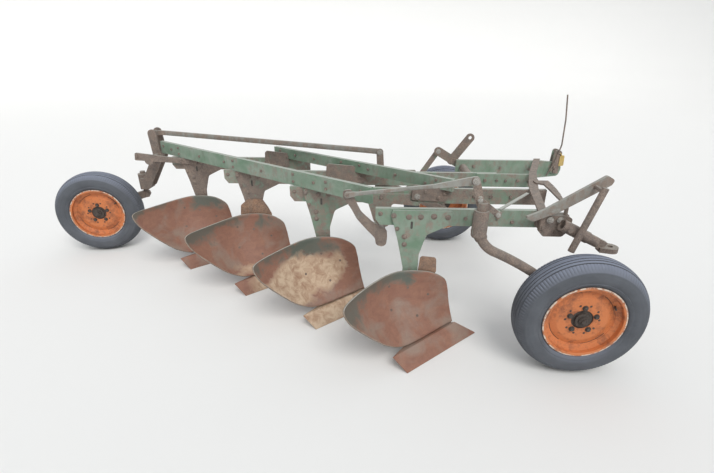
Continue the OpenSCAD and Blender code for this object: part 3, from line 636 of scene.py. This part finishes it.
# Rows are [bottom, rise of the top edge, depth of the dark band of steel and painted shade, bare patch x, z,
# size, mud x, z, size]
BOARDS = [
    [0, 0, 0.12, 0, 380, 0.07, 0, 0, 0.0],
    [1, 35, 0.09, -60, 400, 0.16, -90, 255, 0.3],
    [2, 46, 0.11, 40, 420, 0.07, 0, 120, 0.1],
    [3, 52, 0.05, 40, 440, 0.14, 0, 0, 0.0],
]
# Flush bolts of a moldboard: rows are [along, up], both from 0 to 1
BOARD_BOLTS = [[0.22, 0.62], [0.36, 0.74], [0.5, 0.8], [0.3, 0.3], [0.47, 0.45]]
# Nodes under the boards: rows are [node, mud size]
GROUND_NODES = [["shares", 0.5], ["landsides", 0.4]]
# Their top edge is set well over them, so they show no dark band
GROUND_EDGE = 0.6


def spline_row(rows, along):
    """A row between the rows of a table, on a smooth curve through them."""
    place = along * (len(rows) - 1)
    k = min(int(place), len(rows) - 2)
    t = place - k
    four = zip(rows[max(k - 1, 0)], rows[k], rows[k + 1], rows[min(k + 2, len(rows) - 1)])
    return [0.5 * (2 * b + (c - a) * t + (2 * a - 5 * b + 4 * c - d) * t * t
                   + (3 * b - a - 3 * c + d) * t ** 3) for a, b, c, d in four]


def board_point(along, up, rise):
    """A point on a moldboard's working face in millimetres from its leg, with the wing's tip rounded."""
    row = spline_row(STATIONS, along)
    if along > TIP_START:
        to_tip = (along - TIP_START) / (1 - TIP_START)
        up = 0.5 + (up - 0.5) * max(1 - to_tip ** 3.2, 0.0) ** 0.5
    if along < SHIN_END and up > 0.5:
        up = 0.5 + (up - 0.5) * (1 - 0.12 * (1 - along / SHIN_END) ** 2)
    foot, top = Vector(row[0:3]), Vector(row[3:6])
    point = foot.lerp(top, up) + HOLLOW_WAY * row[6] * 4 * up * (1 - up)
    point.z = BOARD_FOOT + (point.z - BOARD_FOOT) * (1 + rise / BOARD_TALL)
    return point


def scoured(name, dark_and_shaded_band, values):
    """The finish of a face that the soil slides over."""
    finish = bpy.context.scene.plough_finish
    return finish_material(name, soil_group(), {
        "Rust": tuple(finish.board_rust), "Bare": tuple(finish.bare_steel), "Soil": tuple(finish.soil),
        "Dark And Shaded Band": dark_and_shaded_band, **values}, bump=0.5, distance=0.003, specular=0.45)


class PLOUGH_OT_moldboards(bpy.types.Operator):
    """Makes the smooth moldboards with worn edges that are partly a painted highlight, and flush bolts, and
    finishes the shares and landsides
    """
    bl_idname = "plough.moldboards"
    bl_label = "Moldboards"

    def execute(self, context):
        board = context.scene.plough_board
        # The boards' rims are pale: worn steel, and partly a painted highlight along the edge
        edge = worn("Worn Highlit Board Edge", 0.7, 0.8, rust=(0.2, 0.13, 0.1), bright=(0.42, 0.33, 0.26), bump=0.2)
        bolt = worn("Flush Bolt", 0.95, 0.0, rust=(0.1, 0.06, 0.05), bright=(0.2, 0.12, 0.09), bump=0.2)
        for bottom, rise, dark_and_shaded_band, bare_x, bare_z, bare_size, mud_x, mud_z, mud_size in BOARDS:
            number = bottom + 1
            stand = at(-PITCH * bottom, CUT_WIDTH * bottom - BOARD_OUT, 0)
            material = scoured("Scoured Moldboard %d" % number, dark_and_shaded_band, {
                "Leg X": stand.x, "Top Edge": (BAND_EDGE + rise) / 1000,
                "Bare Place": tuple(stand + Vector((bare_x, -BARE_OUT, bare_z)) / 1000),
                "Bare Size": bare_size,
                "Mud Place": tuple(stand + Vector((mud_x, -MUD_OUT, mud_z)) / 1000),
                "Mud Size": mud_size})
            mesh = bmesh.new()
            bmesh.ops.create_grid(mesh, x_segments=board.along, y_segments=board.up, size=0.5)
            for vert in mesh.verts:
                vert.co = stand + board_point(vert.co.x + 0.5, vert.co.y + 0.5, rise) / 1000
            bmesh.ops.remove_doubles(mesh, verts=mesh.verts, dist=0.0002)
            mesh.normal_update()
            facing = sum((face.normal * face.calc_area() for face in mesh.faces), Vector())
            if facing.dot(HOLLOW_WAY) > 0:
                bmesh.ops.reverse_faces(mesh, faces=mesh.faces)
            skin = new_object(mesh, "board_%d_skin" % number, [material, edge], smooth=True)
            thick = skin.modifiers.new("Thickness", "SOLIDIFY")
            thick.thickness = BOARD_THICK / 1000
            thick.offset = -1
            thick.use_even_offset = True
            thick.material_offset_rim = 1
            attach(skin, "frame")
            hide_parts("moldboard_%d" % number)
            mesh = bmesh.new()
            for along, up in BOARD_BOLTS:
                spot = board_point(along, up, rise)
                ahead = board_point(along + 0.01, up, rise) - spot
                higher = board_point(along, up + 0.01, rise) - spot
                out = ahead.cross(higher).normalized()
                if out.dot(HOLLOW_WAY) > 0:
                    out.negate()
                add_round(mesh, stand + spot / 1000 - out * 0.004, out, 0.0095, 0.0052)
            finish_piece(mesh, "board_%d_bolts" % number, "frame", bolt)
        for node, mud in GROUND_NODES:
            low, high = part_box(node)
            middle = tuple((low + high) / 2)
            set_finish(node, scoured("Scoured %s" % node.title(), 0.0, {
                "Top Edge": GROUND_EDGE, "Bare Place": middle, "Bare Size": 0.0,
                "Mud Place": middle, "Mud Size": mud}))
        return {"FINISHED"}


# Wheels: rows are [name, body, centre in mm from the first bottom, yaw in degrees, side of the outer face]
WHEELS = [
    ["furrow", "furrow_wheel", (862, -280, 330), 0, -1],
    ["land", "land_wheel", (392, 1360, 330), 0, 1],
    ["tail", "tail_wheel", (-2455, 1050, 330), 12, -1],
]
TYRE_OUT = 0.330
# Half section of the side wall from the bead to the shoulder, as (radius, across)
SIDE_WALL = [
    (0.193, 0.060), (0.195, 0.0712), (0.2085, 0.0735), (0.2095, 0.0765), (0.216, 0.081), (0.223, 0.0855),
    (0.227, 0.0872), (0.229, 0.0862), (0.236, 0.0898), (0.247, 0.0935), (0.258, 0.0945), (0.262, 0.0935),
    (0.266, 0.0943), (0.276, 0.0925), (0.285, 0.0888), (0.289, 0.0885), (0.292, 0.0862), (0.299, 0.0815),
    (0.3055, 0.075), (0.3105, 0.0685), (0.3145, 0.0618),
]
# Half section of the tread, as (share of a groove's depth, drop below the tread's top, across)
TREAD = [
    (0, 0.0125, 0.0555), (0, 0.0105, 0.0515), (0.6, 0.0095, 0.0505), (0.6, 0.0095, 0.0475),
    (0, 0.0075, 0.0465), (0, 0.0035, 0.0345), (1, 0.002, 0.0335), (1, 0.002, 0.0300),
    (0, 0.0022, 0.0290), (0, 0.0005, 0.0165), (1, 0.0, 0.0155), (1, 0.0, 0.0120), (0, 0.0, 0.0110),
    (0, 0.0, 0.0),
]
INNER_WALL = [(0.233, 0.050), (0.290, 0.060)]
INNER_TOP = (0.305, 0.0)
# The notched part of the shoulder, by radius and by distance from the middle
NOTCH_RADIUS = 0.298
NOTCH_ACROSS = (0.051, 0.082)


def wheel_place(row):
    """The wheel's own frame: its spin axis is z, with its outer face up z."""
    _, _, centre, yaw, side = row
    turn = Matrix.Rotation(math.radians(yaw), 4, "Z") @ Matrix.Rotation(math.radians(-90 * side), 4, "X")
    return Matrix.Translation(at(*centre)) @ turn


def mirrored(section):
    """A half section the other way round, on the other side."""
    return [(radius, -across) for radius, across in reversed(section)]


class PLOUGH_OT_tyres(bpy.types.Operator):
    """Makes the three ribbed tyres with notched shoulders"""
    bl_idname = "plough.tyres"
    bl_label = "Tyres"

    def execute(self, context):
        tyre = context.scene.plough_tyre
        rubber = rubber_material("Weathered Rubber", tuple(context.scene.plough_finish.rubber))
        half = SIDE_WALL + [(TYRE_OUT - drop - tyre.groove_depth * share, across)
                            for share, drop, across in TREAD]
        inner_back = [(radius, -across) for radius, across in INNER_WALL]
        loop = half + mirrored(half[:-1]) + inner_back + [INNER_TOP] + INNER_WALL[::-1]
        for row in WHEELS:
            mesh = bmesh.new()
            ring = closed_loop(mesh, [(radius, 0, across) for radius, across in loop])
            bmesh.ops.spin(mesh, geom=ring, cent=(0, 0, 0), axis=UP, angle=math.tau,
                           steps=tyre.steps, use_merge=True)
            # Every fourth step the shoulder sinks, which leaves blocks
            for vert in mesh.verts:
                radius = math.hypot(vert.co.x, vert.co.y)
                step = round(math.atan2(vert.co.y, vert.co.x) / math.tau * tyre.steps) % 4
                if step == 0 and radius > NOTCH_RADIUS and NOTCH_ACROSS[0] < abs(vert.co.z) < NOTCH_ACROSS[1]:
                    sunk = (radius - tyre.notch_depth) / radius
                    vert.co *= Vector((sunk, sunk, 0.985))
            mesh.transform(wheel_place(row))
            piece = finish_piece(mesh, row[0] + "_ribbed_tyre", row[1], rubber, smooth=True)
            piece.data.set_sharp_from_angle(angle=math.radians(38))
            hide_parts(row[0] + "_tyre")
        return {"FINISHED"}


# Metres from the wheel's middle: the disc's face, the end of the hub, and the circles of bolts and of dark
# spots, which are painted shade for small holes
DISC_FACE = 0.0505
HUB_END = 0.0655
BOLT_CIRCLE = 0.069
SPOT_CIRCLE = 0.084
BOLT_COUNT = 5
FIRST_BOLT = 0.3
# Section of a dark strip of painted shade that stands for an open arc in the disc, as (radius, across)
ARC_SECTION = [(0.1560, 0.0382), (0.1605, 0.0366), (0.1606, 0.0378), (0.1561, 0.0394)]
VALVE_ANGLE = 0.5


class PLOUGH_OT_wheel_parts(bpy.types.Operator):
    """Paints the rims and hubs and adds wheel bolts, dark spots of painted shade for small holes, the hub's
    nut, dark strips of painted shade for open arcs, and the valve
    """
    bl_idname = "plough.wheel_parts"
    bl_label = "Wheel Parts"

    def execute(self, context):
        paint = tuple(context.scene.plough_finish.wheel_paint)
        dark = worn("Greasy Iron", 1.0, 0.0, rust=(0.035, 0.03, 0.028), bright=(0.1, 0.08, 0.068),
                    dust_and_sky_sheen=(0.16, 0.14, 0.12), bump=0.4)
        for row in WHEELS:
            stand = wheel_place(row)
            values = {"Paint": paint, "Centre": tuple(stand.translation),
                      "Axis": tuple(stand.to_3x3() @ Vector(UP))}
            set_finish(row[0] + "_rim", finish_material(
                "Worn %s Wheel Paint" % row[0].title(), wheel_group(), values, bump=0.25, distance=0.001))
            set_finish(row[0] + "_hub", dark)
            mesh = bmesh.new()
            for k in range(BOLT_COUNT):
                angle = math.tau * k / BOLT_COUNT + FIRST_BOLT
                add_bolt(mesh, round_z(BOLT_CIRCLE, angle, DISC_FACE), UP, 0.0115, 0.011, washer=0.0145)
            # Dark spots of painted shade for small holes in the disc
            for k in range(2 * BOLT_COUNT):
                angle = math.tau * (k + 0.5) / (2 * BOLT_COUNT) + FIRST_BOLT
                add_round(mesh, round_z(SPOT_CIRCLE, angle, DISC_FACE), UP, 0.006, 0.0015, 12)
            add_bolt(mesh, Vector((0, 0, HUB_END)), UP, 0.0135, 0.011, washer=0.019)
            mesh.transform(stand)
            finish_piece(mesh, row[0] + "_wheel_bolts", row[1], dark)
            # Dark strips of painted shade for the open arcs between the disc and the rim's well, and the
            # valve
            mesh = bmesh.new()
            for k in range(4):
                turn = Matrix.Rotation(math.tau * (k + 0.12) / 4, 3, "Z")
                section = [turn @ Vector((radius, 0, across)) for radius, across in ARC_SECTION]
                bmesh.ops.spin(mesh, geom=closed_loop(mesh, section), cent=(0, 0, 0), axis=UP,
                               angle=math.radians(46), steps=16)
            lean = (round_z(-0.3, VALVE_ANGLE) + Vector(UP)).normalized()
            add_round(mesh, round_z(0.166, VALVE_ANGLE, 0.040), lean, 0.0055, 0.032)
            mesh.transform(stand)
            finish_piece(mesh, row[0] + "_disc_slot_shades", row[1], dark)
        return {"FINISHED"}


# Bolts of each bottom: rows are [x from the leg, z, radius, 1 where the head is on the leg or 0 on the beam]
STANDARD_BOLTS = [
    [-158, 755, 13, 0], [-86, 751, 15, 1], [-5, 744, 16, 1], [59, 745, 16, 1], [129, 749, 17, 1],
    [204, 745, 16, 1], [-66, 675, 13, 1], [-24, 628, 16, 1], [-23, 581, 15, 1],
]
# The legs' bolts over this height go through the beams and have nuts behind them
BEAM_LOWER_EDGE = 690
# Slot of each leg, drawn as a dark sheet of painted shade: [x from the leg, z, radius, half length]
LEG_SLOT = [12, 697, 6.5, 22]
# Rows are [x on the rail's near face, height above the beam's top]
FRONT_RAIL_BOLTS = [
    (-270, 62), (-330, 30), (-480, 70), (-480, 28), (-560, 48), (-700, 72), (-700, 26), (-940, 45),
    (-1180, 70), (-1180, 26), (-1260, 48), (-1500, 45), (-1720, 72), (-1720, 26), (-1800, 48), (-1890, 60)]
REAR_RAIL_BOLTS = [
    (240, 38), (180, 54), (120, 22), (-60, 38), (-240, 38), (-300, 54), (-430, 54), (-430, 20),
    (-640, 38), (-800, 38), (-930, 54), (-930, 22)]
RAIL_BOLT_RADIUS = 10
# Where the rails' near faces cross the line x = 0
RAIL_Y = {"front": -80, "rear": 480}
# Rows are [x, y of the near face, z, radius]
NEAR_BOLTS = [
    [300, 0, 735, 11], [470, 0, 745, 12], [550, 0, 720, 11],
    [420, 356, 740, 13], [520, 356, 740, 13], [640, 356, 740, 11], [720, 356, 752, 11],
    [560, 695.8, 740, 12], [640, 695.8, 740, 10], [700, 695.8, 740, 10], [780, 695.8, 740, 12],
    [860, 695.8, 735, 12],
    [120, 343.8, 770, 11], [200, 343.8, 735, 11], [235, 343.8, 760, 11],
    [-500, 699.8, 750, 11], [-450, 699.8, 735, 11], [-300, 699.8, 750, 11], [-270, 699.8, 800, 11],
    [-1020, 1055.8, 750, 11], [-900, 1055.8, 735, 11], [-870, 1055.8, 800, 11],
    [560, 1068, 740, 11], [760, 1068, 730, 11], [980, 1068, 720, 11],
    [-150, 339.8, 735, 14], [-2045, 1035.6, 796, 13], [-1700, 1035.6, 765, 12], [-1625, 1035.6, 762, 12],
    [1160, 1051.8, 742, 12], [1158, 1051.8, 715, 12],
]
# Heads that are rubbed bright, in like rows
BRIGHT_BOLTS = [[720, -68, 760, 14], [773, -68, 760, 14], [70, 343.8, 737, 14]]


class PLOUGH_OT_frame_bolts(bpy.types.Operator):
    """Sets the bolt heads of the beams, standards, rails and plates, and dark sheets of painted shade at the
    slots of the legs
    """
    bl_idname = "plough.frame_bolts"
    bl_label = "Frame Bolts"

    def execute(self, context):
        tall = context.scene.plough_bolt.tall
        steel = worn("Bolt Steel", 0.86, 0.2, bump=0.2)
        shade = worn("Slot Shade", 1.2, 0.0, rust=(0.02, 0.017, 0.016), bright=(0.05, 0.035, 0.03))
        mesh, slots, bright = bmesh.new(), bmesh.new(), bmesh.new()
        for bottom in range(4):
            leg_x, beam_y = -PITCH * bottom, CUT_WIDTH * bottom
            for x, z, radius, on_leg in STANDARD_BOLTS:
                add_dome(mesh, at(leg_x + x, beam_y - LEG_FACE * on_leg, z), NEAR, radius / 1000, tall)
                if z > BEAM_LOWER_EDGE:
                    add_bolt(mesh, at(leg_x + x, beam_y + BEAM_THICK, z), FAR, radius / 1000, tall,
                             washer=radius / 1000 * 1.25)
            x, z, radius, half = LEG_SLOT
            add_slot(slots, at(leg_x + x, beam_y - LEG_FACE, z), NEAR, radius / 1000, half / 1000)
        for x, y, z, radius in NEAR_BOLTS:
            add_bolt(mesh, at(x, y, z), NEAR, radius / 1000, tall)
        slope = -CUT_WIDTH / PITCH
        along = Vector((1, slope, 0)).normalized()
        out = Vector((along.y, -along.x, 0))
        for table, y in ((FRONT_RAIL_BOLTS, RAIL_Y["front"]), (REAR_RAIL_BOLTS, RAIL_Y["rear"])):
            for x, z in table:
                add_bolt(mesh, at(x, y + slope * x, BEAM_TOP + z), out, RAIL_BOLT_RADIUS / 1000, tall * 0.8)
        for x, y, z, radius in BRIGHT_BOLTS:
            add_bolt(bright, at(x, y, z), NEAR, radius / 1000, tall, washer=radius / 1000 * 1.3)
        finish_piece(mesh, "frame_bolts", "frame", steel)
        finish_piece(bright, "bright_bolts", "frame", bright_steel())
        finish_piece(slots, "leg_slot_shades", "frame", shade)
        return {"FINISHED"}


# Pins: rows are [body, name, x, y, z, way along y, radius]
PIN_HEADS = [
    ["cylinder_arm", "arm_pin", 480, 1124, 727, 1, 26],
    ["cylinder_arm", "arm_eye_pin", 290, 1112, 840, -1, 16],
    ["reversing", "link_pin", -161.93, 742.2, 914.6, -1, 16],
    ["reversing", "lever_hub", -150, 742.2, 735, -1, 20],
    ["land_crank", "lever_top_pin", -338, 48, 850, 1, 16],
    ["furrow_crank", "level_pin", 302, -140, 984, -1, 16],
    ["furrow_crank", "link_top_pin", 329, -151, 891, -1, 11],
    ["furrow_crank", "link_low_pin", 425, -151, 816, -1, 11],
]
# Dark link that hangs from the furrow axle's lever: its two ends, and its size in metres
AXLE_LINK_ENDS = (329, -145, 891), (425, -145, 816)
AXLE_LINK_THICK = 0.01
AXLE_LINK_DEEP = 0.03


class PLOUGH_OT_pin_heads(bpy.types.Operator):
    """Sets a head or nut on each pin of the linkage, and hangs the furrow axle's dark link"""
    bl_idname = "plough.pin_heads"
    bl_label = "Pin Heads"

    def execute(self, context):
        steel = bright_steel()
        top, low = [at(*end) for end in AXLE_LINK_ENDS]
        lean = Vector((1, 0, 0)).rotation_difference(low - top).to_matrix().to_4x4()
        size = Matrix.Diagonal(((low - top).length, AXLE_LINK_THICK, AXLE_LINK_DEEP, 1))
        strap = bmesh.new()
        bmesh.ops.create_cube(strap, size=1.0, matrix=Matrix.Translation((top + low) / 2) @ lean @ size)
        bmesh.ops.bevel(strap, geom=strap.edges[:], offset=0.0015, segments=2, affect="EDGES")
        for end in (top, low):
            add_round(strap, end + Vector((0, 0.0055, 0)), NEAR, 0.02, 0.012)
        dark = worn("Dark Link", 0.95, 0.9, bump=0.3)
        finish_piece(strap, "axle_link", "furrow_crank", dark)
        for body, name, x, y, z, way, radius in PIN_HEADS:
            mesh = bmesh.new()
            add_bolt(mesh, at(x, y, z), (0, way, 0), radius / 1000, 0.006, washer=radius / 1000 * 1.2)
            finish_piece(mesh, name, body, steel)
        return {"FINISHED"}


# The flat floor, the bend up to the backdrop and the backdrop's top, in metres
FLOOR_RADIUS = 14
BEND_RADIUS = 4
BACKDROP_TOP = 12
# The camera's place in millimetres from the first bottom, and the way that it looks
CAMERA_PLACE = (-189, -2149, 1594)
CAMERA_WAY = Vector((-0.0408, 0.9095, -0.4137))
# The lamp's turns and its spread, in degrees
LAMP_TURN = (41, 10, 12)
LAMP_SPREAD = 35


class PLOUGH_OT_stage(bpy.types.Operator):
    """Makes the floor and backdrop, the lamp, the sky and the camera at the photograph's view"""
    bl_idname = "plough.stage"
    bl_label = "Stage"

    def execute(self, context):
        stage = context.scene.plough_stage
        scene = context.scene
        mesh = bmesh.new()
        # A floor that curves up to a far backdrop
        profile = [(0, 0, 0), (FLOOR_RADIUS, 0, 0)]
        profile += [(FLOOR_RADIUS + BEND_RADIUS * math.sin(a), 0, BEND_RADIUS * (1 - math.cos(a)))
                    for a in (0.3, 0.6, 0.9, 1.2, 1.5)]
        profile.append((FLOOR_RADIUS + BEND_RADIUS, 0, BACKDROP_TOP))
        verts = [mesh.verts.new(point) for point in profile]
        edges = [mesh.edges.new(ends) for ends in zip(verts, verts[1:])]
        bmesh.ops.spin(mesh, geom=verts + edges, cent=(0, 0, 0), axis=UP, angle=math.tau,
                       steps=96, use_merge=True)
        bmesh.ops.remove_doubles(mesh, verts=mesh.verts, dist=0.0001)
        bmesh.ops.recalc_face_normals(mesh, faces=mesh.faces)
        bmesh.ops.reverse_faces(mesh, faces=mesh.faces)
        paper, _, shader = new_material("Pale Backdrop", 0.1)
        shader.inputs["Base Color"].default_value = (*stage.floor, 1)
        shader.inputs["Roughness"].default_value = 0.95
        floor = new_object(mesh, "studio_floor", [paper], smooth=True)

        world = bpy.data.worlds.new("Even Sky")
        scene.world = world
        world.use_nodes = True
        sky = world.node_tree.nodes["Background"]
        sky.inputs["Color"].default_value = (0.93, 0.96, 1.0, 1)
        sky.inputs["Strength"].default_value = stage.sky

        lamp = bpy.data.lights.new("High Soft Lamp", "SUN")
        lamp.energy = stage.key
        lamp.angle = math.radians(LAMP_SPREAD)
        lamp.color = (1.0, 0.98, 0.95)
        key = bpy.data.objects.new("High Soft Lamp", lamp)
        key.rotation_euler = [math.radians(turn) for turn in LAMP_TURN]
        scene.collection.objects.link(key)

        camera = bpy.data.cameras.new("Photograph View")
        camera.sensor_width = 36
        camera.lens = stage.lens
        camera.clip_end = 100
        eye = bpy.data.objects.new("Photograph View", camera)
        eye.location = at(*CAMERA_PLACE)
        eye.rotation_mode = "QUATERNION"
        eye.rotation_quaternion = CAMERA_WAY.to_track_quat("-Z", "Y")
        scene.collection.objects.link(eye)
        scene.camera = eye
        scene.view_settings.view_transform = "Standard"
        return {"FINISHED"}


# Rows are (name on the scene, property group, title in the panel)
GROUPS = [
    ("plough_finish", PloughFinish, "Finish"), ("plough_tyre", PloughTyre, "Tyres"),
    ("plough_board", PloughBoard, "Moldboards"), ("plough_bolt", PloughBolt, "Bolts"),
    ("plough_stage", PloughStage, "Stage"),
]
STEPS = ["frame_finish", "moldboards", "tyres", "wheel_parts", "frame_bolts", "pin_heads", "stage"]


class PLOUGH_PT_panel(bpy.types.Panel):
    """Lists the plough's settings and steps"""
    bl_label = "Weathered Plough"
    bl_space_type = "VIEW_3D"
    bl_region_type = "UI"
    bl_category = "Plough"

    def draw(self, context):
        for name, _, title in GROUPS:
            box = self.layout.box()
            box.label(text=title)
            settings = getattr(context.scene, name)
            for setting in settings.__annotations__:
                box.prop(settings, setting)
        for step in STEPS:
            self.layout.operator("plough." + step)


CLASSES = [
    PLOUGH_OT_frame_finish, PLOUGH_OT_moldboards, PLOUGH_OT_tyres, PLOUGH_OT_wheel_parts,
    PLOUGH_OT_frame_bolts, PLOUGH_OT_pin_heads, PLOUGH_OT_stage, PLOUGH_PT_panel,
]


def register():
    for name, group, _ in GROUPS:
        bpy.utils.register_class(group)
        setattr(bpy.types.Scene, name, bpy.props.PointerProperty(type=group))
    for item in CLASSES:
        bpy.utils.register_class(item)


def unregister():
    for item in reversed(CLASSES):
        bpy.utils.unregister_class(item)
    for name, group, _ in reversed(GROUPS):
        delattr(bpy.types.Scene, name)
        bpy.utils.unregister_class(group)


def main():
    register()
    for step in STEPS:
        getattr(bpy.ops.plough, step)()


if __name__ == "__main__":
    main()
